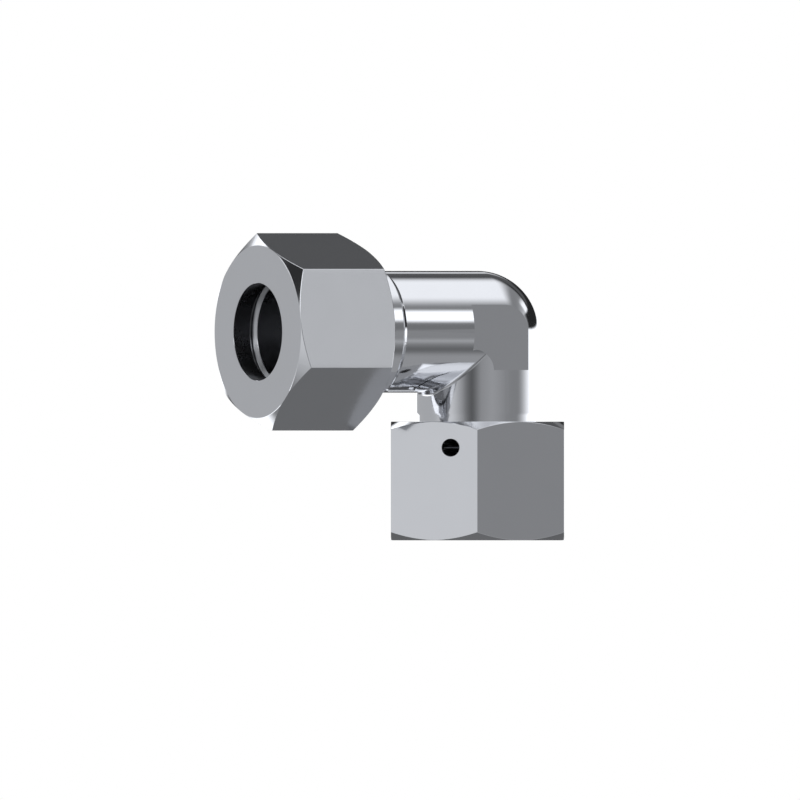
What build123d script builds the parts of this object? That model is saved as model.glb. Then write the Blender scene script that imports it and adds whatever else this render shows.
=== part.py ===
from build123d import *

import os
from math import radians, sqrt, tan

# An adjustable elbow fitting for hydraulic tube, in millimetres.
# The origin is the centre of the swivel nut's mouth face. The swivel axis is Z, with the elbow
# above the nut. The tube enters from minus X, and the wrench flats face minus Y and plus Y.

# Tube, and the walls that follow from it outwards: flow bore, elbow leg, stud and nuts
tube_diameter = 15.0
socket_clearance = 0.05
tube_stop_width = 1.5
leg_wall = 3.5
cone_widening = 1.0
stud_wall = 2.5
nut_wall = 2.5
nose_narrowing = 1.0

# Tube leg, measured back from the face of its stud
stud_reach = 28.0
cone_half_angle = 12.0
socket_depth = 7.0
stud_chamfer = 1.0
stud_thread_length = 6.0
relief_depth = 0.9
relief_width = 1.75
relief_taper_length = 1.35
drill_point_angle = 118.0
bore_overrun = 2.0

# Thread of both nuts, drawn as plain cylinders
thread_pitch = 1.5
thread_clearance = 0.05

# Swivel leg, with the nut's mouth at height zero
swivel_leg_rise = 13.0
neck_reveal = 1.0
neck_step = 0.4
neck_clearance = 0.15
nose_drop = 5.15
nose_length = 6.6
nose_chamfer = 0.4

# Wrench flats on the corner of the elbow
flat_depth = 1.0
flat_back = 6.0
flat_drop = 5.95
flat_corner_radius = 3.15
flat_corner_back = 5.5
crotch_radius = 0.7

# Hexagon of both nuts
face_inset = 0.05
hex_chamfer_angle = 30.0
mouth_chamfer = 0.6

# Cutting ring
ring_length = 9.5
ring_insertion = 1.65
ring_wall = 1.5
ring_seat_height = 0.75
ring_clearance = 0.05
ring_inner_chamfer = 0.6
ring_inner_chamfer_length = 0.53
bite_edge_width = 0.7
bite_groove_depth = 0.35
bite_groove_width = 1.6

# Tube nut
tube_nut_length = 17.0
tube_nut_turn = 8.9
nut_bore_clearance = 0.1
nut_bore_length = 2.96
nut_chamber_gap = 0.4
nut_chamber_length = 1.5
seat_clearance = 0.1

# Swivel nut
swivel_nut_length = 18.5
swivel_collar_length = 7.3
swivel_relief_width = 1.4
swivel_relief_depth = 0.15

# Retaining wire, its groove and the hole that it is fed through
wire_diameter = 2.5
wire_clearance = 0.1
wire_offset = 0.2
wire_drop = 4.05
wire_span = 336.0
wire_start = -86.0
feed_hole_diameter = 2.8
feed_hole_overrun = 2.0

# Seal in the nose
seal_section = 2.0
seal_drop = 2.05
seal_groove_width = 2.6
seal_groove_depth = 1.96
seal_fit = 0.05

# Sides of the polygon that stands for a round section in the wire, its groove and the seal
round_section_sides = 8

cone_slope = tan(radians(cone_half_angle))
tube_radius = tube_diameter / 2
socket_radius = tube_radius + socket_clearance
nut_bore_radius = tube_radius + nut_bore_clearance
flow_radius = tube_radius - tube_stop_width
nose_bore_radius = flow_radius - nose_narrowing
leg_radius = flow_radius + leg_wall
mouth_radius = tube_radius + cone_widening
thread_radius = mouth_radius + stud_wall
thread_minor_radius = thread_radius - 0.54127 * thread_pitch
across_flats = 2 * (thread_radius + nut_wall)
neck_radius = leg_radius - neck_step

# Heights of the swivel leg, from the nut up to the tube axis and from the wire down to the nose.
neck_top = swivel_nut_length + neck_reveal
axis_height = neck_top + swivel_leg_rise
wire_height = swivel_nut_length - wire_drop
gauge_height = wire_height - nose_drop
tip_height = gauge_height - nose_length
seal_height = gauge_height - seal_drop
wire_ring_radius = neck_radius + wire_offset

# The ring's nose sits in the stud's cone, and the nut's seat sits on the ring's rear chamfer,
# so the nut takes its place from the ring and the ring takes its place from the stud.
ring_radius = tube_radius + ring_wall
ring_rear_radius = ring_radius - ring_seat_height
ring_nose_reach = stud_reach - ring_insertion
ring_rear_reach = ring_nose_reach + ring_length
seat_step = ring_rear_radius - nut_bore_radius
nut_face_reach = ring_rear_reach + nut_bore_length + seat_step + seat_clearance

tube_axis = Pos(0, 0, axis_height) * Rot(0, -90, 0)


def turned(points):
    """Solid of revolution about Z of a closed section given as (radius, height) points."""
    section = make_face(Plane.XZ * Polyline(*points, close=True))
    return revolve(section, Axis.Z)


def drilled(radius, start, end):
    """Bore about Z from start to end, closed by a drill point beyond end."""
    point = radius / tan(radians(drill_point_angle / 2))
    return turned([(0, start), (radius, start), (radius, end), (0, end + point)])


def hexagon_bar(length, turn):
    """Hexagon bar standing on the XY plane, with both faces turned to 30 degree chamfers."""
    hexagon = RegularPolygon(across_flats / 2, 6, major_radius=False, rotation=turn)
    bar = extrude(hexagon, length)
    face_radius = across_flats / 2 - face_inset
    rim_radius = across_flats / sqrt(3) + face_inset
    rise = (rim_radius - face_radius) * tan(radians(hex_chamfer_angle))
    turned_bar = turned([
        (0, 0),
        (face_radius, 0),
        (rim_radius, rise),
        (rim_radius, length - rise),
        (face_radius, length),
        (0, length),
    ])
    return bar & turned_bar


def stud_leg():
    """Tube leg along local Z, from the swivel axis out to the stud face."""
    relief_radius = thread_radius - relief_depth
    thread_end = stud_reach - stud_thread_length
    relief_end = thread_end - relief_depth
    relief_start = relief_end - relief_width
    return turned([
        (0, 0),
        (leg_radius, 0),
        (leg_radius, relief_start - relief_taper_length),
        (relief_radius, relief_start),
        (relief_radius, relief_end),
        (thread_radius, thread_end),
        (thread_radius, stud_reach - stud_chamfer),
        (thread_radius - stud_chamfer, stud_reach),
        (0, stud_reach),
    ])


def stud_bore():
    """Cone, tube socket and flow bore of the tube leg along local Z."""
    cone_end = stud_reach - (mouth_radius - socket_radius) / cone_slope
    overshoot = 1.0
    socket = turned([
        (0, stud_reach - socket_depth),
        (socket_radius, stud_reach - socket_depth),
        (socket_radius, cone_end),
        (mouth_radius + overshoot * cone_slope, stud_reach + overshoot),
        (0, stud_reach + overshoot),
    ])
    flow = Rot(180, 0, 0) * drilled(flow_radius, -stud_reach, bore_overrun)
    return socket + flow


def ring_of_section(section_diameter, middle_radius, middle_height, span=360):
    """Ring about Z with a round section, drawn as a polygon around the section's circle."""
    half_side_turn = 180 / round_section_sides
    circle_radius = section_diameter / 2
    section = RegularPolygon(circle_radius, round_section_sides, major_radius=False, rotation=half_side_turn)
    return revolve(Plane.XZ * Pos(middle_radius, middle_height) * section, Axis.Z, span)


def wire_groove():
    """Ring-shaped space for the wire, half in the neck and half in the swivel nut."""
    return ring_of_section(wire_diameter + 2 * wire_clearance, wire_ring_radius, wire_height)


def nose_leg():
    """Swivel leg: leg, neck and 24 degree cone nose, about Z."""
    cone_top = gauge_height + (neck_radius - mouth_radius) / cone_slope
    tip_radius = mouth_radius - nose_length * cone_slope
    leg = turned([
        (0, tip_height),
        (tip_radius - nose_chamfer, tip_height),
        (tip_radius, tip_height + nose_chamfer),
        (neck_radius, cone_top),
        (neck_radius, neck_top),
        (leg_radius, neck_top + neck_step),
        (leg_radius, axis_height),
        (0, axis_height),
    ])
    groove_floor = seal_groove_floor()
    seal_groove = turned([
        (groove_floor, seal_height - seal_groove_width / 2),
        (leg_radius, seal_height - seal_groove_width / 2),
        (leg_radius, seal_height + seal_groove_width / 2),
        (groove_floor, seal_height + seal_groove_width / 2),
    ])
    return leg - wire_groove() - seal_groove


def seal_groove_floor():
    """Radius of the seal groove's floor, below the cone at the groove's middle."""
    return mouth_radius - seal_drop * cone_slope - seal_groove_depth


def wrench_flat_cut():
    """Space above one wrench flat, on the side of minus Y, around the elbow's corner."""
    reach = 2 * leg_radius
    corner = Pos((reach - flat_back) / 2, (reach - flat_drop) / 2)
    outline = corner * Rectangle(reach + flat_back, reach + flat_drop)
    outline -= Pos(-flat_corner_back, -flat_drop) * Circle(flat_corner_radius)
    face = Plane.XZ.offset(leg_radius - flat_depth) * outline
    return Pos(0, 0, axis_height) * extrude(face, leg_radius)


def is_crotch_edge(edge):
    """True for the inner seam between the legs, which lies in the mitre plane."""
    middle = edge @ 0.5
    drop = axis_height - middle.Z
    on_mitre = abs(drop + middle.X) < 0.01
    return on_mitre and middle.X < -leg_radius / 2


def elbow_body():
    """Forged and machined elbow in one piece."""
    corner = Pos(0, 0, axis_height) * Sphere(leg_radius)
    body = tube_axis * stud_leg() + nose_leg() + corner
    flat = wrench_flat_cut()
    body -= flat
    body -= mirror(flat, Plane.XZ)
    crotch = body.edges().filter_by(is_crotch_edge)
    body = fillet(crotch, crotch_radius)
    body -= tube_axis * stud_bore()
    body -= drilled(nose_bore_radius, tip_height - nose_chamfer, axis_height)
    return body


def cutting_ring():
    """Cutting ring along local Z, nose towards the elbow."""
    bore_radius = socket_radius
    nose_radius = mouth_radius - ring_insertion * cone_slope - ring_clearance
    taper_end = ring_nose_reach + (ring_radius - nose_radius) / cone_slope
    groove_start = ring_nose_reach + bite_edge_width
    groove_end = groove_start + bite_groove_width
    return turned([
        (bore_radius, ring_nose_reach),
        (nose_radius, ring_nose_reach),
        (ring_radius, taper_end),
        (ring_radius, ring_rear_reach - ring_seat_height),
        (ring_rear_radius, ring_rear_reach),
        (bore_radius + ring_inner_chamfer, ring_rear_reach),
        (bore_radius, ring_rear_reach - ring_inner_chamfer_length),
        (bore_radius, groove_end),
        (bore_radius + bite_groove_depth, groove_end - bite_groove_depth),
        (bore_radius + bite_groove_depth, groove_start),
        (bore_radius, groove_start),
    ])


def tube_nut():
    """Compression nut along local Z, its face away from the elbow."""
    rear_reach = nut_face_reach - tube_nut_length
    blank = Pos(0, 0, rear_reach) * hexagon_bar(tube_nut_length, tube_nut_turn)
    chamber_radius = ring_radius + nut_chamber_gap
    bore_radius = thread_radius + thread_clearance
    seat_start = nut_face_reach - nut_bore_length
    seat_end = seat_start - (chamber_radius - nut_bore_radius)
    chamber_end = seat_end - nut_chamber_length
    thread_start = chamber_end - (bore_radius - chamber_radius)
    hollow = turned([
        (0, nut_face_reach + 1),
        (nut_bore_radius, nut_face_reach + 1),
        (nut_bore_radius, seat_start),
        (chamber_radius, seat_end),
        (chamber_radius, chamber_end),
        (bore_radius, thread_start),
        (bore_radius, rear_reach + mouth_chamfer),
        (bore_radius + mouth_chamfer, rear_reach),
        (bore_radius + mouth_chamfer, rear_reach - 1),
        (0, rear_reach - 1),
    ])
    return blank - hollow


def swivel_nut():
    """Swivel nut about Z, its mouth on the XY plane."""
    blank = hexagon_bar(swivel_nut_length, 0)
    collar_radius = neck_radius + neck_clearance
    relief_radius = thread_radius + swivel_relief_depth
    entry = thread_radius - thread_minor_radius + mouth_chamfer
    relief_end = swivel_nut_length - swivel_collar_length
    thread_end = relief_end - swivel_relief_width
    hollow = turned([
        (0, -1),
        (thread_minor_radius + entry, -1),
        (thread_minor_radius + entry, 0),
        (thread_minor_radius, entry),
        (thread_minor_radius, thread_end),
        (relief_radius, thread_end),
        (relief_radius, relief_end),
        (collar_radius, relief_end + (relief_radius - collar_radius) / 2),
        (collar_radius, swivel_nut_length + 1),
        (0, swivel_nut_length + 1),
    ])
    hole_length = across_flats
    hole = Rot(0, 90, 0) * Cylinder(feed_hole_diameter / 2, hole_length)
    hole_middle = feed_hole_overrun - hole_length / 2
    feed_hole = Pos(hole_middle, -wire_ring_radius, wire_height) * hole
    return blank - hollow - wire_groove() - feed_hole


def retaining_wire():
    """Open wire ring in the groove between neck and swivel nut."""
    ring = ring_of_section(wire_diameter, wire_ring_radius, wire_height, wire_span)
    return Rot(0, 0, wire_start) * ring


def o_ring():
    """Seal in the groove of the nose."""
    middle_radius = seal_groove_floor() + seal_fit + seal_section / 2
    return ring_of_section(seal_section, middle_radius, seal_height)


os.makedirs("parts", exist_ok=True)
nodes = {
    "elbow_body": elbow_body(),
    "cutting_ring": tube_axis * cutting_ring(),
    "tube_nut": tube_axis * tube_nut(),
    "swivel_nut": swivel_nut(),
    "retaining_wire": retaining_wire(),
    "o_ring": o_ring(),
}
for name, solid in nodes.items():
    export_step(solid, f"parts/{name}.step")
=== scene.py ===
import math

import bmesh
import bpy
import numpy as np
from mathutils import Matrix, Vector


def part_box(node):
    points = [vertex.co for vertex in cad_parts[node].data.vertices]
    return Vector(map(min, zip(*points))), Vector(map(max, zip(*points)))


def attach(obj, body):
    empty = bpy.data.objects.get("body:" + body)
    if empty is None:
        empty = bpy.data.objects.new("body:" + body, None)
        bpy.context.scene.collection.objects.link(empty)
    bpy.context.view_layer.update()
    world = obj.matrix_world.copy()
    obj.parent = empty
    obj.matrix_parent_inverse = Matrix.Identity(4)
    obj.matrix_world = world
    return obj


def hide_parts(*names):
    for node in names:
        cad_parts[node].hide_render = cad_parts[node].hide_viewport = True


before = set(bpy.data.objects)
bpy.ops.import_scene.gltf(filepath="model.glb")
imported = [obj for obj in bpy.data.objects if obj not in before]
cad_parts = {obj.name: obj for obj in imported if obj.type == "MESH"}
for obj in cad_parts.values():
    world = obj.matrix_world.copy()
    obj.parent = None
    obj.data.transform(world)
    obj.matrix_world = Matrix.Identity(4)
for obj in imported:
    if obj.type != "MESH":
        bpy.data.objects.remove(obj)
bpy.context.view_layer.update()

# An adjustable elbow fitting: a forged elbow with a tube nut and cutting ring on its cone stud and
# a swivel nut on its cone nose. Sizes are in millimetres, and MM turns them into metres. A reach is
# a distance from the swivel axis along the tube axis.
MM = 0.001


def packed_box(node):
    """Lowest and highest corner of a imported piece, in millimetres."""
    low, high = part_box(node)
    return np.array(low) / MM, np.array(high) / MM


elbow_low, elbow_high = packed_box("elbow_body")
tube_nut_low, tube_nut_high = packed_box("tube_nut")
swivel_nut_low, swivel_nut_high = packed_box("swivel_nut")
ring_low, ring_high = packed_box("cutting_ring")
wire_low, wire_high = packed_box("retaining_wire")
seal_low, seal_high = packed_box("o_ring")

# Elbow, with the ends of the stud's taper as packed and as shown
leg_radius = elbow_high[0]
stud_reach = -elbow_low[0]
axis_height = (tube_nut_low[2] + tube_nut_high[2]) / 2
neck_reveal = 1.0
neck_step = 0.4
neck_top = swivel_nut_high[2] + neck_reveal
taper_start = 18.0
relief_start = 19.35
shown_taper_start = taper_start + 0.15
shown_relief_start = relief_start - 0.3
flat_depth = 1.0
flat_height = leg_radius - flat_depth

# Thread of stud and nuts
thread_pitch = 1.5
thread_depth_per_pitch = 0.54127
thread_radius = 11.0
thread_clearance = 0.05
thread_inner_radius = thread_radius - thread_depth_per_pitch * thread_pitch
thread_start_reach = 21.15
stud_root_radius = 10.08
stud_crest_radius = 10.98
stud_crest_width = 0.15
stud_chamfer = 1.0
nut_groove_radius = 11.035
nut_groove_width = 0.23
flank_slope = math.tan(math.radians(30))

# Sleeve that carries the stud's thread, and the room turned for it on the stud
sleeve_wall = 0.35
sleeve_gap = 0.03
sleeve_room = 0.2
sleeve_face_gap = 0.02

# Hexagon of both nuts, and the small ease on its edges
across_flats = swivel_nut_high[1] - swivel_nut_low[1]
hexagon_corner_radius = 0.07
face_inset = 0.05
hexagon_chamfer_slope = math.tan(math.radians(30))
edge_ease = 0.045
edge_ease_share = 0.25

# Tube nut
tube_nut_turn = 8.9
nut_face_reach = -tube_nut_low[0]
nut_rear_reach = -tube_nut_high[0]
nut_bore_radius = 7.6
nut_bore_length = 2.96
chamber_radius = 9.4
chamber_length = 1.5
nut_thread_bore = thread_radius + thread_clearance
mouth_chamfer = 0.6

# Swivel nut, with the feed hole's end measured along X
swivel_nut_length = swivel_nut_high[2]
swivel_thread_end = 9.8
swivel_relief_end = 11.2
swivel_relief_radius = 11.15
swivel_relief_slope = 0.5
collar_radius = 9.25
groove_clearance = 0.1
feed_hole_radius = 1.4
feed_hole_end = 2.0

# Retaining wire and seal
wire_radius = (wire_high[2] - wire_low[2]) / 2
wire_height = (wire_high[2] + wire_low[2]) / 2
wire_ring_radius = 9.3
wire_start = math.radians(-86)
wire_span = math.radians(336)
wire_end_size = 0.88
wire_end_bevel = 0.012
seal_radius = (seal_high[2] - seal_low[2]) / 2
seal_height = (seal_high[2] + seal_low[2]) / 2
seal_ring_radius = seal_high[0] - seal_radius

# Cutting ring
cone_slope = math.tan(math.radians(12))
ring_bore_radius = 7.55
ring_radius = ring_high[1]
ring_rear_radius = 8.25
ring_nose_reach = -ring_high[0]
ring_rear_reach = -ring_low[0]
ring_nose_radius = 8.1
ring_inner_chamfer = 0.6
ring_inner_chamfer_length = 0.53
bite_edge_width = 0.7
bite_groove_depth = 0.35
bite_groove_width = 1.6
ring_ease = 0.06
ring_ease_share = 0.3

# Limits of the painted shade inside the fitting (darker, rougher steel), a little beyond the walls that
# take it
socket_limit = 7.56
flow_bore_limit = 6.1
stud_face_margin = 0.3
ring_bore_limit = ring_bore_radius + 0.4
ring_rear_margin = 0.56

# Steps of the curved surfaces
corner_steps = 7
side_steps = 25
steps_per_pitch = 12
stud_steps = 168
groove_steps = 15
drill_steps = 64
ring_steps = 192
seal_steps = 128
seal_sides = 32
wire_steps = 160
wire_sides = 24

# Distances under which points are joined, and the radius of a circle that is joined into a point
weld_distance = 0.001
seam_distance = 0.0005
point_radius = 0.0001

# Camera, level with the fitting and turned from the tube towards the flats, in metres
view_turn = math.radians(-30)
picture_width = 0.124712
picture_centre = Vector((-0.010463, 0.006041, 0.021876))
camera_distance = 0.6


def grid_faces(rows, columns, first=0, closed_rows=False, closed_columns=True):
    """Quads between neighbours on a grid of points. Closed columns join each row's last point to its
    first one, and closed rows join the last row to the first one."""
    row = np.arange(rows if closed_rows else rows - 1)[:, None]
    column = np.arange(columns if closed_columns else columns - 1)[None, :]
    next_row = (row + 1) % rows
    next_column = (column + 1) % columns
    corners = [
        row * columns + column,
        row * columns + next_column,
        next_row * columns + next_column,
        next_row * columns + column,
    ]
    return first + np.stack(np.broadcast_arrays(*corners), axis=-1).reshape(-1, 4)


def full_turn(steps):
    """Angles of evenly spaced points on a circle."""
    return np.arange(steps) * 2 * np.pi / steps


def polar_points(angle, radius, height):
    """Points about the vertical axis: the radius times the angle's cosine and sine, and the height.
    The three arrays stretch to one shape."""
    angle, radius, height = np.broadcast_arrays(angle, radius, height)
    return np.stack([radius * np.cos(angle), radius * np.sin(angle), height], axis=-1)


def along_tube(points):
    """Turns points about a vertical axis into points about the tube axis, height becoming reach."""
    x, y, z = points[..., 0], points[..., 1], points[..., 2]
    return np.stack([-z, y, axis_height + x], axis=-1)


def read_vectors(collection, name):
    """One vector of each vertex, corner or face of a mesh, as rows."""
    values = np.empty(len(collection) * 3, np.float32)
    collection.foreach_get(name, values)
    return values.reshape(-1, 3).astype(float)


def unit(vectors):
    """Vectors brought to length one."""
    return vectors / np.maximum(np.linalg.norm(vectors, axis=-1, keepdims=True), 1e-12)


def dots(first, second):
    """Dot product of each vector with its partner."""
    return np.einsum("ij,ij->i", first, second)


def welded_mesh(name, points, faces):
    """Mesh of points in millimetres, with equal points joined and faces turned outwards."""
    mesh = bpy.data.meshes.new(name)
    mesh.from_pydata((points * MM).tolist(), [], faces.tolist())
    shell = bmesh.new()
    shell.from_mesh(mesh)
    bmesh.ops.remove_doubles(shell, verts=shell.verts, dist=weld_distance * MM)
    bmesh.ops.recalc_face_normals(shell, faces=shell.faces)
    shell.to_mesh(mesh)
    shell.free()
    return mesh


def paint_shade_inside(piece, material, axis, radius, low=-1000.0, high=1000.0):
    """Second material, darker with painted shade and rougher, for faces whose middle is nearer to an axis
    than a radius, and between two places along that axis."""
    mesh = piece.data
    start, direction = np.array(axis)
    offset = read_vectors(mesh.polygons, "center") / MM - start
    along = offset @ direction
    away = np.linalg.norm(offset - along[:, None] * direction, axis=1)
    chosen = (away < radius) & (along > low) & (along < high)
    mesh.materials.append(material)
    slots = np.empty(len(mesh.polygons), np.int32)
    mesh.polygons.foreach_get("material_index", slots)
    slots[chosen] = len(mesh.materials) - 1
    mesh.polygons.foreach_set("material_index", slots)


def add_piece(mesh, body, material, stands_for, crease=12):
    """Puts a mesh into the scene as a piece that rides on a body. It is smooth up to the crease's
    angle in degrees, with flat faces kept flat. A crease of 0 leaves the mesh's own normals."""
    piece = bpy.data.objects.new(mesh.name, mesh)
    bpy.context.scene.collection.objects.link(piece)
    mesh.materials.clear()
    mesh.materials.append(material)
    mesh.shade_smooth()
    if crease:
        mesh.set_sharp_from_angle(angle=math.radians(crease))
        weighted = piece.modifiers.new("flat_faces", "WEIGHTED_NORMAL")
        weighted.keep_sharp = True
        weighted.weight = 90
    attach(piece, body)
    if stands_for:
        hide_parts(stands_for)
    return piece


def hexagon_outline(turn):
    """Hexagon with rounded corners, as angles and radii. A side lies at half the width across flats,
    and a corner is an arc about a point on the corner's diagonal that meets both sides."""
    half = across_flats / 2
    diagonal = np.radians(turn) + np.arange(6)[:, None] * np.pi / 3
    centre = (half - hexagon_corner_radius) / math.cos(math.pi / 6)
    sweep = diagonal + np.linspace(-np.pi / 6, np.pi / 6, corner_steps)[None, :]
    arc_x = centre * np.cos(diagonal) + hexagon_corner_radius * np.cos(sweep)
    arc_y = centre * np.sin(diagonal) + hexagon_corner_radius * np.sin(sweep)
    facing = diagonal + np.pi / 6
    reach = (half - hexagon_corner_radius) * math.tan(math.pi / 6)
    slide = np.linspace(-reach, reach, side_steps)[None, 1:-1]
    side_x = half * np.cos(facing) - slide * np.sin(facing)
    side_y = half * np.sin(facing) + slide * np.cos(facing)
    x = np.hstack([arc_x, side_x]).ravel()
    y = np.hstack([arc_y, side_y]).ravel()
    return np.unwrap(np.arctan2(y, x)), np.hypot(x, y)


def thread_share(angle, height, crest, flank):
    """Share of the thread's depth: 1 over the crest's width, then straight flanks down to 0. The
    crest climbs one pitch for each turn."""
    middle = height - thread_pitch * angle / (2 * np.pi)
    distance = np.abs((middle + thread_pitch / 2) % thread_pitch - thread_pitch / 2)
    return np.clip((crest / 2 + flank - distance) / flank, 0, 1)


def nut_thread_radius(angle, height):
    """Radius of the thread groove cut into a nut's bore."""
    depth = nut_groove_radius - thread_inner_radius
    share = thread_share(angle, height, nut_groove_width, depth * flank_slope)
    return thread_inner_radius + depth * share


def stud_thread_radius(angle, reach):
    """Radius of the stud's thread: root, flanks and crest, within the chamfers at both of its ends."""
    depth = stud_crest_radius - stud_root_radius
    share = thread_share(angle, reach, stud_crest_width, depth * flank_slope)
    front = stud_crest_radius - stud_chamfer + (stud_reach - reach)
    rear = stud_root_radius + (reach - thread_start_reach)
    return np.minimum(stud_root_radius + depth * share, np.minimum(front, rear))


def thread_strip(angles, low, high, radius_at):
    """Thread surface between two heights: one pitch of its section carried along the helix, turn after
    turn, with the heights held between low and high so that both ends are cut square."""
    turns = np.arange(math.floor(low / thread_pitch) - 1, math.ceil(high / thread_pitch) + 1)
    run = (angles[None, :] + 2 * np.pi * turns[:, None]).ravel()
    run = np.append(run, run[0] + 2 * np.pi * len(turns))[:, None]
    across = np.linspace(0, thread_pitch, steps_per_pitch + 1)[None, :]
    height = np.clip(thread_pitch * run / (2 * np.pi) + across, low, high)
    points = polar_points(run, radius_at(run, height), height)
    rows, columns = height.shape
    return points.reshape(-1, 3), grid_faces(rows, columns, closed_columns=False)


def hexagon_nut(turn, low, high, bore_radius, mouth_radius, thread_end, inner_profile):
    """Points and faces of a hexagon nut about a vertical axis. Its skin runs from the bore over the
    top face, down the hexagon, over the bottom face, up the thread and back to the bore. The 30
    degree chamfer drops by the tangent of its angle times the hexagon's radius beyond the turned
    face, and each edge is cut off by a small ease."""
    angles, hexagon = hexagon_outline(turn)
    face_radius = across_flats / 2 - face_inset
    beyond = hexagon - face_radius
    ease = np.minimum(edge_ease, beyond * edge_ease_share)

    def radius_at(angle, height):
        """Radius of the thread, or of the mouth's 45 degree chamfer where that is wider."""
        return np.maximum(nut_thread_radius(angle, height), mouth_radius - (height - low))

    outside = [
        (bore_radius + edge_ease, 0),
        (face_radius - edge_ease, 0),
        (face_radius + ease, ease * hexagon_chamfer_slope),
        (hexagon - ease, (beyond - ease) * hexagon_chamfer_slope),
        (hexagon, beyond * hexagon_chamfer_slope + ease),
    ]
    skin = [polar_points(angles, radius, high - drop) for radius, drop in outside]
    skin += [polar_points(angles, radius, low + drop) for radius, drop in outside[:0:-1]]
    skin += [polar_points(angles, radius_at(angles, low) + edge_ease, low)]
    skin += [polar_points(angles, radius_at(angles, low), low)]
    strip, strip_faces = thread_strip(angles, low, thread_end, radius_at)
    inside = [polar_points(angles, radius_at(angles, thread_end), thread_end)]
    inside += [polar_points(angles, radius, height) for radius, height in inner_profile]
    inside += [polar_points(angles, bore_radius, high - edge_ease)]
    inside += [polar_points(angles, bore_radius + edge_ease, high)]
    columns = len(angles)
    strip_first = len(skin) * columns
    faces = [
        grid_faces(len(skin), columns),
        strip_first + strip_faces,
        grid_faces(len(inside), columns, first=strip_first + len(strip)),
    ]
    return np.concatenate([*skin, strip, *inside]), np.concatenate(faces)


def make_tube_nut(material):
    """Tube nut: bore, 45 degree seat, chamber and thread."""
    seat_start = nut_face_reach - nut_bore_length
    seat_end = seat_start - (chamber_radius - nut_bore_radius)
    chamber_end = seat_end - chamber_length
    thread_end = chamber_end - (nut_thread_bore - chamber_radius)
    inner_profile = [
        (nut_thread_bore, thread_end),
        (chamber_radius, chamber_end),
        (chamber_radius, seat_end),
        (nut_bore_radius, seat_start),
    ]
    points, faces = hexagon_nut(
        turn=tube_nut_turn,
        low=nut_rear_reach,
        high=nut_face_reach,
        bore_radius=nut_bore_radius,
        mouth_radius=nut_thread_bore + mouth_chamfer,
        thread_end=thread_end,
        inner_profile=inner_profile,
    )
    mesh = welded_mesh("threaded_tube_nut", along_tube(points), faces)
    return add_piece(mesh, "tube_nut", material, "tube_nut")


def make_swivel_nut(material):
    """Swivel nut: thread, relief, collar, wire groove as a part of a circle, and the feed hole."""
    groove_radius = wire_radius + groove_clearance
    half_bend = math.acos((collar_radius - wire_ring_radius) / groove_radius)
    bend = np.linspace(-half_bend, half_bend, groove_steps)
    groove_radii = wire_ring_radius + groove_radius * np.cos(bend)
    groove_heights = wire_height + groove_radius * np.sin(bend)
    relief_narrowing = swivel_relief_radius - collar_radius
    inner_profile = [
        (swivel_relief_radius, swivel_thread_end),
        (swivel_relief_radius, swivel_relief_end),
        (collar_radius, swivel_relief_end + relief_narrowing * swivel_relief_slope),
        *zip(groove_radii, groove_heights),
    ]
    points, faces = hexagon_nut(
        turn=0,
        low=0,
        high=swivel_nut_length,
        bore_radius=collar_radius,
        mouth_radius=thread_radius + mouth_chamfer,
        thread_end=swivel_thread_end,
        inner_profile=inner_profile,
    )
    mesh = welded_mesh("threaded_swivel_nut", points, faces)
    mesh = drilled(mesh, feed_hole_radius, (-across_flats, feed_hole_end), -wire_ring_radius, wire_height)
    return add_piece(mesh, "swivel_nut", material, "swivel_nut")


def drilled(mesh, radius, along_x, at_y, at_z):
    """The mesh with a round hole along X cut from it. The drill is a circle carried along X, closed
    by a point in the middle of each end."""
    start, end = along_x
    profile = [(point_radius, start), (radius, start), (radius, end), (point_radius, end)]
    rows = [polar_points(full_turn(drill_steps), size, place) for size, place in profile]
    points = np.concatenate(rows)[:, [2, 0, 1]] + np.array([0, at_y, at_z])
    drill_mesh = welded_mesh("drill", points, grid_faces(len(rows), drill_steps))
    blank = bpy.data.objects.new("blank", mesh)
    drill = bpy.data.objects.new("drill", drill_mesh)
    for thing in (blank, drill):
        bpy.context.scene.collection.objects.link(thing)
    cut = blank.modifiers.new("hole", "BOOLEAN")
    cut.operation = "DIFFERENCE"
    cut.solver = "EXACT"
    cut.object = drill
    bpy.context.view_layer.update()
    evaluated = blank.evaluated_get(bpy.context.evaluated_depsgraph_get())
    result = bpy.data.meshes.new_from_object(evaluated)
    bpy.data.objects.remove(blank)
    bpy.data.objects.remove(drill)
    name = mesh.name
    bpy.data.meshes.remove(mesh)
    result.name = name
    return result


def eased(profile, distance):
    """Closed profile with each corner cut off at a small distance along both of its sides, or at a
    share of a side that is short."""
    points = np.array(profile, float)
    before = np.roll(points, 1, axis=0) - points
    after = np.roll(points, -1, axis=0) - points
    share_before = np.minimum(distance / np.linalg.norm(before, axis=1), ring_ease_share)
    share_after = np.minimum(distance / np.linalg.norm(after, axis=1), ring_ease_share)
    pairs = [points + before * share_before[:, None], points + after * share_after[:, None]]
    return np.stack(pairs, axis=1).reshape(-1, 2)


def turned_ring(profile, steps):
    """Points and faces of a closed (radius, height) profile carried round the vertical axis."""
    points = polar_points(full_turn(steps), profile[:, [0]], profile[:, [1]])
    return points.reshape(-1, 3), grid_faces(len(profile), steps, closed_rows=True)


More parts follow.
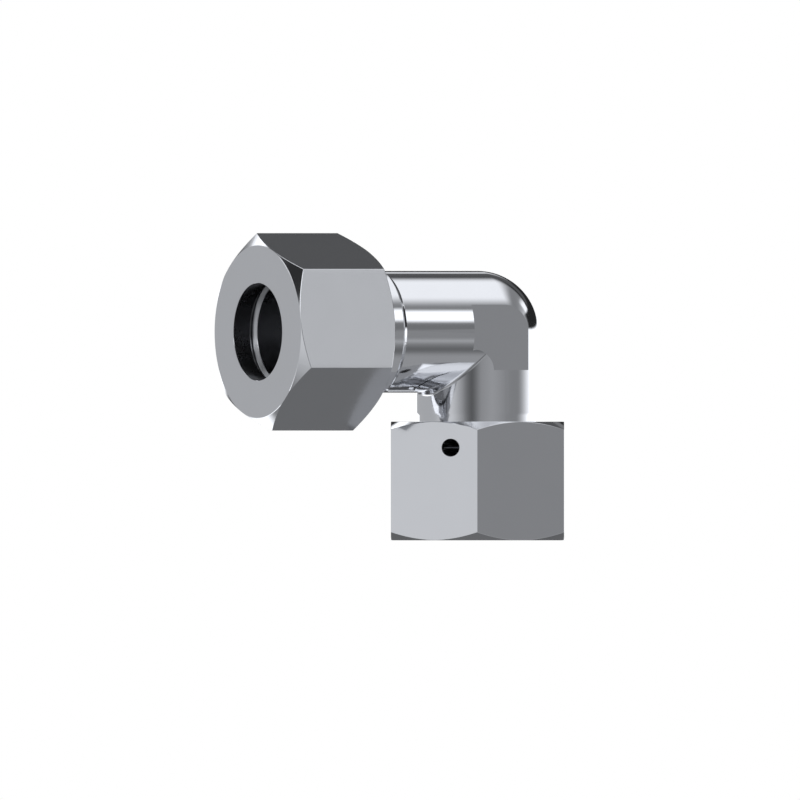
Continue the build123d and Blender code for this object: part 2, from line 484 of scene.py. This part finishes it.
def make_cutting_ring(material):
    """Cutting ring: 24 degree nose, collar, 45 degree rear chamfer and the bite groove inside."""
    taper_end = ring_nose_reach + (ring_radius - ring_nose_radius) / cone_slope
    groove_start = ring_nose_reach + bite_edge_width
    groove_end = groove_start + bite_groove_width
    profile = eased([
        (ring_bore_radius, ring_nose_reach),
        (ring_nose_radius, ring_nose_reach),
        (ring_radius, taper_end),
        (ring_radius, ring_rear_reach - (ring_radius - ring_rear_radius)),
        (ring_rear_radius, ring_rear_reach),
        (ring_bore_radius + ring_inner_chamfer, ring_rear_reach),
        (ring_bore_radius, ring_rear_reach - ring_inner_chamfer_length),
        (ring_bore_radius, groove_end),
        (ring_bore_radius + bite_groove_depth, groove_end - bite_groove_depth),
        (ring_bore_radius + bite_groove_depth, groove_start),
        (ring_bore_radius, groove_start),
    ], ring_ease)
    points, faces = turned_ring(profile, ring_steps)
    mesh = welded_mesh("turned_cutting_ring", along_tube(points), faces)
    return add_piece(mesh, "cutting_ring", material, "cutting_ring")


def make_seal(material):
    """Seal ring: a circle carried round a larger circle."""
    turn = full_turn(seal_sides)
    radii = seal_ring_radius + seal_radius * np.cos(turn)
    heights = seal_height + seal_radius * np.sin(turn)
    points, faces = turned_ring(np.stack([radii, heights], axis=-1), seal_steps)
    mesh = welded_mesh("round_seal", points, faces)
    return add_piece(mesh, "elbow", material, "o_ring", crease=0)


def make_wire(material):
    """Open wire ring: a circle carried along an arc. At each end the first two circles lie in the
    end's plane, one shrunk to a point and one a little small, and the third is full, which bevels
    the cut end's rim."""
    along = wire_start + np.linspace(0, wire_span, wire_steps)[:, None]
    along[1] = along[0]
    along[2] = along[0] + wire_end_bevel
    along[-2] = along[-1]
    along[-3] = along[-1] - wire_end_bevel
    size = np.full((wire_steps, 1), wire_radius)
    size[[0, -1]] = point_radius
    size[[1, -2]] *= wire_end_size
    turn = full_turn(wire_sides)[None, :]
    radius = wire_ring_radius + size * np.cos(turn)
    points = polar_points(along, radius, wire_height + size * np.sin(turn))
    mesh = welded_mesh("wire_ring", points.reshape(-1, 3), grid_faces(wire_steps, wire_sides))
    return add_piece(mesh, "swivel_nut", material, "retaining_wire")


def make_stud_thread(material):
    """Thread of the stud as a closed sleeve whose inner wall lies inside the stud."""
    angles = full_turn(stud_steps)
    low = thread_start_reach
    high = stud_reach - sleeve_face_gap
    inner = stud_root_radius - sleeve_wall
    strip, strip_faces = thread_strip(angles, low, high, stud_thread_radius)
    wall = [
        polar_points(angles, stud_thread_radius(angles, low), low),
        polar_points(angles, inner, low),
        polar_points(angles, inner, high),
        polar_points(angles, stud_thread_radius(angles, high), high),
    ]
    points = np.concatenate([strip, *wall])
    faces = np.concatenate([strip_faces, grid_faces(len(wall), stud_steps, first=len(strip))])
    mesh = welded_mesh("stud_thread", along_tube(points), faces)
    return add_piece(mesh, "elbow", material, None)


def make_elbow(material):
    """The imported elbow, joined at its seams. Its stud is turned down to make room for the thread
    piece, the two ends of the taper behind it are moved, and its normals are made exact."""
    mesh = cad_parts["elbow_body"].data.copy()
    mesh.name = "forged_elbow"
    shell = bmesh.new()
    shell.from_mesh(mesh)
    bmesh.ops.remove_doubles(shell, verts=shell.verts, dist=seam_distance * MM)
    shell.to_mesh(mesh)
    shell.free()
    places = read_vectors(mesh.vertices, "co") / MM
    offset = places - np.array([0, 0, axis_height])
    from_tube_axis = np.hypot(offset[:, 1], offset[:, 2])
    reach = -places[:, 0]
    turned_radius = stud_root_radius - sleeve_gap
    stud = (reach > thread_start_reach - sleeve_room) & (from_tube_axis > turned_radius)
    shrink = np.where(stud, turned_radius / from_tube_axis, 1.0)
    places[:, 1] = offset[:, 1] * shrink
    places[:, 2] = offset[:, 2] * shrink + axis_height
    tolerance = 0.01
    crease = 16
    for packed, shown in ((taper_start, shown_taper_start), (relief_start, shown_relief_start)):
        ring = (np.abs(reach - packed) < tolerance) & (from_tube_axis > leg_radius - tolerance)
        places[ring, 0] = -shown
    mesh.vertices.foreach_set("co", (places * MM).astype(np.float32).ravel())
    mesh.update()
    mesh.shade_smooth()
    mesh.set_sharp_from_angle(angle=math.radians(crease))
    set_exact_normals(mesh, places)
    return add_piece(mesh, "elbow", material, "elbow_body", crease=0)


def turned_normals(points, face_normals, middles, centre, axis):
    """Normals of surfaces turned about an axis. The face's own normal is split along the axis and away
    from it, and the part away from it is turned to point from the axis to each corner."""
    axis = np.array(axis, float)

    def away(places):
        """Directions from the axis to the places."""
        offset = places - centre
        return unit(offset - (offset @ axis)[:, None] * axis)

    along = face_normals @ axis
    outward = np.sign(dots(face_normals, away(middles)))
    share = np.sqrt(np.maximum(1 - along**2, 0)) * outward
    return along[:, None] * axis + share[:, None] * away(points)


def set_exact_normals(mesh, places):
    """Gives each corner of the elbow's mesh the normal of the surface that its face lies on. On the
    legs and the turned parts it points from the axis, on the round outer corner from its centre, and
    on a wrench flat it is the flat's own. The small step of the neck is shaded as part of the leg."""
    surface_tolerance = 0.004
    edge_tolerance = 0.01
    deepest_relief = 1.5
    flat_match = 0.9995
    surface_match = 0.97
    step_match = 0.3
    corners = np.empty(len(mesh.loops), np.int32)
    mesh.loops.foreach_get("vertex_index", corners)
    points = places[corners]
    normals = read_vectors(mesh.corner_normals, "vector")
    face_normals = np.repeat(read_vectors(mesh.polygons, "normal"), 3, axis=0)
    middles = np.repeat(points.reshape(-1, 3, 3).mean(axis=1), 3, axis=0)
    corner = np.array([0, 0, axis_height])

    def everywhere(test):
        """True at the corners of faces that pass the test at all three corners."""
        return np.repeat(test.reshape(-1, 3).all(axis=1), 3)

    def on(distance, radius):
        """True on faces whose corners all lie at the radius."""
        return everywhere(np.abs(distance - radius) < surface_tolerance)

    from_tube_axis = np.linalg.norm((points - corner)[:, 1:], axis=1)
    from_swivel_axis = np.linalg.norm(points[:, :2], axis=1)
    from_corner = np.linalg.norm(points - corner, axis=1)
    height = points[:, 2]
    step_top = neck_top + neck_step + edge_tolerance
    tube = turned_normals(points, face_normals, middles, corner, (-1, 0, 0))
    swivel = turned_normals(points, face_normals, middles, corner, (0, 0, 1))
    stud_side = everywhere(-points[:, 0] > taper_start - edge_tolerance)
    stud_side &= everywhere(from_tube_axis > leg_radius - deepest_relief)
    wrench_flat = everywhere(np.abs(points[:, 1]) > flat_height - edge_tolerance)
    wrench_flat &= np.abs(face_normals[:, 1]) > flat_match
    for surface, exact in [
        (stud_side, tube),
        (everywhere(height < step_top), swivel),
        (on(from_tube_axis, leg_radius), tube),
        (on(from_swivel_axis, leg_radius), swivel),
        (on(from_corner, leg_radius), unit(points - corner)),
    ]:
        close = surface & ~wrench_flat & (dots(exact, face_normals) > surface_match)
        normals[close] = exact[close]
    normals[wrench_flat] = face_normals[wrench_flat]
    from_leg = unit(points * np.array([1, 1, 0]))
    small_step = everywhere((height > neck_top - edge_tolerance) & (height < step_top))
    small_step &= dots(from_leg, face_normals) > step_match
    normals[small_step] = from_leg[small_step]
    mesh.normals_split_custom_set(unit(normals).tolist())


class Nodes:
    """Small helper that adds shader nodes and joins their sockets."""

    def __init__(self, tree):
        self.tree = tree

    def add(self, kind, settings=None, **inputs):
        """Adds a node, with settings as attributes and inputs as numbers or sockets. An input goes by
        its socket's name, or by the letter i and its place in the list."""
        node = self.tree.nodes.new(kind)
        for name, value in (settings or {}).items():
            setattr(node, name, value)
        for name, value in inputs.items():
            key = int(name[1:]) if name[1:].isdigit() else name
            self.join(value, node.inputs[key])
        return node

    def join(self, value, socket):
        """Links a socket, or sets a plain value."""
        if isinstance(value, bpy.types.NodeSocket):
            self.tree.links.new(value, socket)
        else:
            socket.default_value = value

    def math(self, operation, first, second=0.0, third=0.0, clamp=False):
        """One calculation, as its output socket."""
        settings = {"operation": operation, "use_clamp": clamp}
        return self.add("ShaderNodeMath", settings, i0=first, i1=second, i2=third).outputs[0]

    def vector(self, operation, first, second=(0, 0, 0)):
        """One calculation on vectors, as its node."""
        return self.add("ShaderNodeVectorMath", {"operation": operation}, i0=first, i1=second)

    def scaled(self, vector, factor):
        """A vector times a number."""
        settings = {"operation": "SCALE"}
        return self.add("ShaderNodeVectorMath", settings, i0=vector, Scale=factor).outputs["Vector"]

    def blend(self, share, first, second):
        """Blend of two colours."""
        settings = {"data_type": "RGBA"}
        return self.add("ShaderNodeMix", settings, i0=share, i6=first, i7=second).outputs[2]

    def group(self, tree, **inputs):
        """A node group with its inputs."""
        return self.add("ShaderNodeGroup", {"node_tree": tree}, **inputs)

    def split(self, vector):
        """The three parts of a vector."""
        return self.add("ShaderNodeSeparateXYZ", i0=vector).outputs

    def object_place(self):
        """Place on the piece, in metres."""
        return self.add("ShaderNodeTexCoord").outputs["Object"]


def new_group(name, inputs, outputs):
    """Node group with named sockets, its helper, its inputs and its output node."""
    tree = bpy.data.node_groups.new(name, "ShaderNodeTree")
    for label, kind, value in inputs:
        socket = tree.interface.new_socket(label, in_out="INPUT", socket_type=kind)
        socket.default_value = value
    for label, kind in outputs:
        tree.interface.new_socket(label, in_out="OUTPUT", socket_type=kind)
    nodes = Nodes(tree)
    given = nodes.add("NodeGroupInput").outputs
    taken = nodes.add("NodeGroupOutput").inputs
    return tree, nodes, given, taken


# Studio panels as seen from the fitting, later ones in front of earlier ones: brightness, then the
# angle around the tube axis, half the width and its soft edge, then the angle along the axis, half
# the length and its soft edge, all in degrees.
panel_placing = ("Around", "Half Around", "Around Edge", "Along", "Half Along", "Along Edge")
ambient = 0.25
studio_panels = {
    "front_glow": (0.37, 0, 12, 14, -2, 20, 50),
    "low_step": (0.42, -17, 3, 10, 20, 60, 30),
    "low_dip": (0.15, -33, 6, 12, 20, 60, 30),
    "low_front": (0.33, -62, 18, 12, 20, 70, 30),
    "floor_under": (0.16, -108, 26, 16, 10, 70, 30),
    "back_wall": (0.45, 180, 24, 10, -30, 100, 30),
    "right_wall": (1.5, 0, 108, 16, 100, 24, 50),
    "corner_glow": (1.2, 105, 20, 12, 68, 8, 8),
    "back_dark": (0.03, 146, 28, 8, 45, 45, 20),
    "overhead": (1.05, 88.5, 30, 24, 5, 33, 18),
    "back_gap": (0.095, 137, 9, 10, 20, 75, 20),
    "back_strip_high": (1.4, 152, 6, 6, -15, 45, 30),
    "back_strip_low": (1.4, -153, 10, 8, -30, 25, 14),
    "low_back": (0.13, -150, 26, 8, 50, 45, 14),
    "left_wall": (0.66, 0, 200, 1, -105, 37, 40),
    "upper_left_gap": (0.03, 120, 22, 16, -58, 18, 20),
    "front_gap": (0.19, 9, 6, 8, 25, 50, 30),
    "front_flag": (0.11, 0, 30, 20, -41, 9, 22),
    "front_strip": (1.4, 30, 10.5, 9, 0, 60, 20),
}

# Panels that stand upright, with the angle about the vertical axis, from the front towards plus X,
# in place of the first angle, and the angle above the floor in place of the second.
upright_panels = {
    "right_dark": (0.02, 125, 45, 16, 11, 8, 3),
    "right_horizon": (1.5, 125, 37, 14, -1, 3.5, 3),
}


def panel_group():
    """Mask of one studio panel in the directions of the world. Around is the angle about the tube
    axis, 0 towards the front and 90 straight up. Along is the angle from the front towards plus X."""
    inputs = [("Direction", "NodeSocketVector", (0, 0, 0))]
    inputs += [(label, "NodeSocketFloat", 10.0) for label in panel_placing]
    tree, nodes, given, taken = new_group("studio_panel", inputs, [("Mask", "NodeSocketFloat")])
    degrees = 180 / math.pi
    x, y, z = nodes.split(nodes.vector("NORMALIZE", given["Direction"]).outputs["Vector"])
    around = nodes.math("ARCTAN2", z, nodes.math("MULTIPLY", y, -1.0))
    around = nodes.math("MULTIPLY", around, degrees)
    apart = nodes.math("WRAP", nodes.math("SUBTRACT", around, given["Around"]), -180.0, 180.0)
    along = nodes.math("MULTIPLY", nodes.math("ARCSINE", x), degrees)
    beside = nodes.math("SUBTRACT", along, given["Along"])
    shares = []
    for offset, half, edge in (
        (apart, given["Half Around"], given["Around Edge"]),
        (beside, given["Half Along"], given["Along Edge"]),
    ):
        reach = nodes.math("ADD", half, nodes.math("MULTIPLY", edge, 0.5))
        inside = nodes.math("SUBTRACT", reach, nodes.math("ABSOLUTE", offset))
        ramp = nodes.math("DIVIDE", inside, edge, clamp=True)
        smooth = nodes.add("ShaderNodeMapRange", {"interpolation_type": "SMOOTHSTEP"}, i0=ramp)
        shares.append(smooth.outputs[0])
    nodes.join(nodes.math("MULTIPLY", *shares), taken["Mask"])
    return tree


def make_world(panel):
    """White for the camera, even light for dull surfaces, and studio panels for shiny ones."""
    white = (1.0, 1.0, 1.0, 1.0)
    even_light = (0.92, 0.93, 0.95, 1.0)
    red_share = 0.985
    blue_share = 1.03
    world = bpy.data.worlds.new("studio")
    bpy.context.scene.world = world
    world.use_nodes = True
    tree = world.node_tree
    tree.nodes.clear()
    nodes = Nodes(tree)
    direction = nodes.add("ShaderNodeTexCoord").outputs["Generated"]
    x, y, z = nodes.split(direction)
    upright = nodes.add("ShaderNodeCombineXYZ", i0=z, i1=y, i2=x).outputs[0]
    level = ambient
    for facing, panels in ((direction, studio_panels), (upright, upright_panels)):
        for brightness, *placing in panels.values():
            mask = nodes.group(panel, Direction=facing, **dict(zip(panel_placing, placing))).outputs[0]
            mix = nodes.add("ShaderNodeMix", {"data_type": "FLOAT"}, i0=mask, i2=level, i3=brightness)
            level = mix.outputs[0]
    red = nodes.math("MULTIPLY", level, red_share)
    blue = nodes.math("MULTIPLY", level, blue_share)
    tint = nodes.add("ShaderNodeCombineColor", i0=red, i1=level, i2=blue).outputs[0]
    rays = nodes.add("ShaderNodeLightPath").outputs
    shiny = nodes.blend(rays["Is Diffuse Ray"], tint, even_light)
    seen = nodes.blend(rays["Is Camera Ray"], shiny, white)
    background = nodes.add("ShaderNodeBackground", Color=seen, Strength=1.0)
    output = nodes.add("ShaderNodeOutputWorld")
    nodes.join(background.outputs[0], output.inputs["Surface"])


def marks_group():
    """Tool marks as a height: fine rings about an axis through the given centre, read from the
    distance to the axis and the place along it, with a slow drift so that no two rings are alike."""
    tree, nodes, given, taken = new_group("turning_marks", [
        ("Centre", "NodeSocketVector", (0, 0, 0)),
        ("Axis", "NodeSocketVector", (0, 0, 1)),
        ("Spacing", "NodeSocketFloat", 0.00012),
    ], [("Height", "NodeSocketFloat")])
    place_share = 1.37
    offset = nodes.vector("SUBTRACT", nodes.object_place(), given["Centre"]).outputs["Vector"]
    along = nodes.vector("DOT_PRODUCT", offset, given["Axis"]).outputs["Value"]
    away = nodes.vector("SUBTRACT", offset, nodes.scaled(given["Axis"], along)).outputs["Vector"]
    radius = nodes.vector("LENGTH", away).outputs["Value"]
    sweep = nodes.math("ADD", radius, nodes.math("MULTIPLY", along, place_share))
    count = nodes.math("DIVIDE", sweep, given["Spacing"])
    noise = nodes.add("ShaderNodeTexNoise", {"noise_dimensions": "1D"},
                      W=count, Scale=1.0, Detail=2.0, Roughness=0.6)
    nodes.join(noise.outputs[0], taken["Height"])
    return tree


def grain_group():
    """Drawn-bar grain as a height: noise stretched along the bar's axis."""
    tree, nodes, given, taken = new_group("bar_grain", [
        ("Squeeze", "NodeSocketVector", (1, 1, 1)),
        ("Scale", "NodeSocketFloat", 9000.0),
    ], [("Height", "NodeSocketFloat")])
    squeezed = nodes.vector("MULTIPLY", nodes.object_place(), given["Squeeze"]).outputs["Vector"]
    noise = nodes.add("ShaderNodeTexNoise", i0=squeezed, Scale=given["Scale"], Detail=3.0, Roughness=0.55)
    nodes.join(noise.outputs[0], taken["Height"])
    return tree


def plating_group():
    """Plating tone: a soft mottling that shifts colour and roughness a little over the surface."""
    tree, nodes, given, taken = new_group("plating", [
        ("Color", "NodeSocketColor", (0.8, 0.8, 0.82, 1)),
        ("Roughness", "NodeSocketFloat", 0.1),
        ("Variation", "NodeSocketFloat", 0.06),
    ], [("Color", "NodeSocketColor"), ("Roughness", "NodeSocketFloat")])
    cloud_share = 0.7
    speck_share = 0.3
    roughness_swing = 4.0
    place = nodes.object_place()
    cloud = nodes.add("ShaderNodeTexNoise", i0=place, Scale=170.0, Detail=4.0, Roughness=0.55)
    speck = nodes.add("ShaderNodeTexNoise", i0=place, Scale=2600.0, Detail=2.0, Roughness=0.6)
    cloud_part = nodes.math("MULTIPLY", cloud.outputs[0], cloud_share)
    speck_part = nodes.math("MULTIPLY", speck.outputs[0], speck_share)
    centred = nodes.math("SUBTRACT", nodes.math("ADD", cloud_part, speck_part), 0.5)
    swing = nodes.math("MULTIPLY", centred, given["Variation"])
    nodes.join(nodes.scaled(given["Color"], nodes.math("ADD", 1.0, swing)), taken["Color"])
    rougher = nodes.math("ADD", 1.0, nodes.math("MULTIPLY", swing, roughness_swing))
    nodes.join(nodes.math("MULTIPLY", given["Roughness"], rougher), taken["Roughness"])
    return tree


def new_material(name):
    """Material with its helper and its shader."""
    material = bpy.data.materials.new(name)
    material.use_nodes = True
    material.node_tree.nodes.clear()
    nodes = Nodes(material.node_tree)
    shader = nodes.add("ShaderNodeBsdfPrincipled")
    output = nodes.add("ShaderNodeOutputMaterial")
    nodes.join(shader.outputs[0], output.inputs["Surface"])
    return material, nodes, shader


def steel(name, groups, turning, color, roughness, marks=0.0, grain=0.0, squeeze=(1, 1, 1)):
    """Bright plated steel with turning marks about its axis and drawn grain along it."""
    material, nodes, shader = new_material(name)
    shader.inputs["Metallic"].default_value = 1.0
    plating = nodes.group(groups["plating"], Color=color, Roughness=roughness)
    nodes.join(plating.outputs["Color"], shader.inputs["Base Color"])
    nodes.join(plating.outputs["Roughness"], shader.inputs["Roughness"])
    rings = nodes.group(groups["marks"], **turning).outputs[0]
    lines = nodes.group(groups["grain"], Squeeze=squeeze).outputs[0]
    ring_height = nodes.math("MULTIPLY", rings, marks)
    line_height = nodes.math("MULTIPLY", lines, grain)
    height = nodes.math("ADD", ring_height, line_height)
    bump = nodes.add("ShaderNodeBump", Height=height, Strength=1.0, Distance=0.000001)
    nodes.join(bump.outputs[0], shader.inputs["Normal"])
    return material


def seal_rubber():
    """Black rubber with a faint bloom."""
    clean = (0.012, 0.012, 0.013, 1)
    bloomed = (0.028, 0.028, 0.03, 1)
    material, nodes, shader = new_material("black_rubber")
    bloom = nodes.add("ShaderNodeTexNoise", i0=nodes.object_place(), Scale=900.0, Detail=4.0).outputs[0]
    nodes.join(nodes.blend(bloom, clean, bloomed), shader.inputs["Base Color"])
    shader.inputs["Roughness"].default_value = 0.48
    bump = nodes.add("ShaderNodeBump", Height=bloom, Strength=0.4, Distance=0.00002)
    nodes.join(bump.outputs[0], shader.inputs["Normal"])
    return material


def make_floor():
    """Pale plane that the fitting stands on. Metal looks through it at the lower studio panels."""
    half_width = 1.5
    drop = 0.00002
    corners = np.array([[-1, -1], [1, -1], [1, 1], [-1, 1]]) * half_width
    mesh = bpy.data.meshes.new("floor")
    mesh.from_pydata(np.column_stack([corners, np.full(4, -drop)]).tolist(), [], [(0, 1, 2, 3)])
    material, nodes, shader = new_material("floor_paper")
    shader.inputs["Base Color"].default_value = (0.86, 0.86, 0.87, 1)
    shader.inputs["Roughness"].default_value = 0.9
    shader.inputs["Specular IOR Level"].default_value = 0.0
    rays = nodes.add("ShaderNodeLightPath").outputs
    clear = nodes.add("ShaderNodeBsdfTransparent").outputs[0]
    seen = nodes.add("ShaderNodeMixShader", i0=rays["Is Glossy Ray"], i1=shader.outputs[0], i2=clear)
    output = material.node_tree.nodes["Material Output"]
    nodes.join(seen.outputs[0], output.inputs["Surface"])
    mesh.materials.append(material)
    floor = bpy.data.objects.new("floor", mesh)
    bpy.context.scene.collection.objects.link(floor)


def make_lamp():
    """Large soft lamp above and to the left. Metal doesn't mirror it, so what it gives is the soft
    shadow on the floor."""
    lamp = bpy.data.lights.new("top_lamp", "AREA")
    lamp.shape = "DISK"
    lamp.size = 0.5
    lamp.energy = 1.2
    stand = bpy.data.objects.new("top_lamp", lamp)
    place = Vector((-0.35, -0.35, 0.7))
    stand.location = place
    stand.rotation_euler = (-place).to_track_quat("-Z", "Y").to_euler()
    stand.visible_glossy = False
    bpy.context.scene.collection.objects.link(stand)


def make_camera():
    """Parallel camera level with the fitting, as in the photograph."""
    camera = bpy.data.cameras.new("camera")
    camera.type = "ORTHO"
    camera.ortho_scale = picture_width
    camera.clip_start = 0.01
    camera.clip_end = 5.0
    stand = bpy.data.objects.new("camera", camera)
    forward = Vector((-math.sin(view_turn), math.cos(view_turn), 0))
    stand.location = picture_centre - forward * camera_distance
    stand.rotation_euler = forward.to_track_quat("-Z", "Y").to_euler()
    bpy.context.scene.collection.objects.link(stand)
    bpy.context.scene.camera = stand


def make_fitting():
    """All pieces of the fitting, each with its own finish."""
    groups = {"marks": marks_group(), "grain": grain_group(), "plating": plating_group()}
    bright = (0.80, 0.81, 0.835, 1)
    greyer = (0.72, 0.73, 0.75, 1)
    # Dark colour of the bores and hollows: painted shade where little light gets in
    shaded = (0.36, 0.365, 0.38, 1)
    on_tube = {"Centre": (0, 0, axis_height * MM), "Axis": (1, 0, 0)}
    on_swivel = {"Centre": (0, 0, 0), "Axis": (0, 0, 1)}
    drawn = 0.02
    forging = steel("polished_forging", groups, on_tube, bright, roughness=0.08, grain=0.15)
    tube_nut_steel = steel("tube_nut_steel", groups, on_tube, bright, roughness=0.1,
                           marks=0.2, grain=0.25, squeeze=(drawn, 1, 1))
    swivel_nut_steel = steel("swivel_nut_steel", groups, on_swivel, bright, roughness=0.1,
                             marks=0.2, grain=0.25, squeeze=(1, 1, drawn))
    # Bore materials: the shaded colour is painted shade in the hollows, with a rougher finish
    tube_bore_painted_shade = steel("tube_bore_painted_shade", groups, on_tube, shaded, roughness=0.28, marks=0.15)
    swivel_bore_painted_shade = steel("swivel_bore_painted_shade", groups, on_swivel, shaded, roughness=0.28, marks=0.15)
    ring_steel = steel("ring_steel", groups, on_tube, greyer, roughness=0.22, marks=1.0)
    thread_steel = steel("thread_steel", groups, on_tube, bright, roughness=0.14, marks=0.6)
    wire_steel = steel("wire_steel", groups, on_swivel, bright, roughness=0.2, marks=0.4)
    tube_axis = ((0, 0, axis_height), (-1, 0, 0))
    swivel_axis = ((0, 0, 0), (0, 0, 1))
    elbow = make_elbow(forging)
    paint_shade_inside(elbow, tube_bore_painted_shade, tube_axis, socket_limit, low=0, high=stud_reach - stud_face_margin)
    paint_shade_inside(elbow, swivel_bore_painted_shade, swivel_axis, flow_bore_limit, high=axis_height)
    make_stud_thread(thread_steel)
    tube_nut = make_tube_nut(tube_nut_steel)
    paint_shade_inside(tube_nut, tube_bore_painted_shade, tube_axis, chamber_radius, high=nut_face_reach - edge_ease)
    swivel_nut = make_swivel_nut(swivel_nut_steel)
    paint_shade_inside(swivel_nut, swivel_bore_painted_shade, swivel_axis, swivel_relief_radius,
                low=edge_ease, high=swivel_nut_length - edge_ease)
    ring = make_cutting_ring(ring_steel)
    paint_shade_inside(ring, tube_bore_painted_shade, tube_axis, ring_bore_limit, high=ring_rear_reach - ring_rear_margin)
    make_wire(wire_steel)
    make_seal(seal_rubber())


bpy.context.scene.view_settings.view_transform = "Standard"
make_world(panel_group())
make_fitting()
make_floor()
make_lamp()
make_camera()
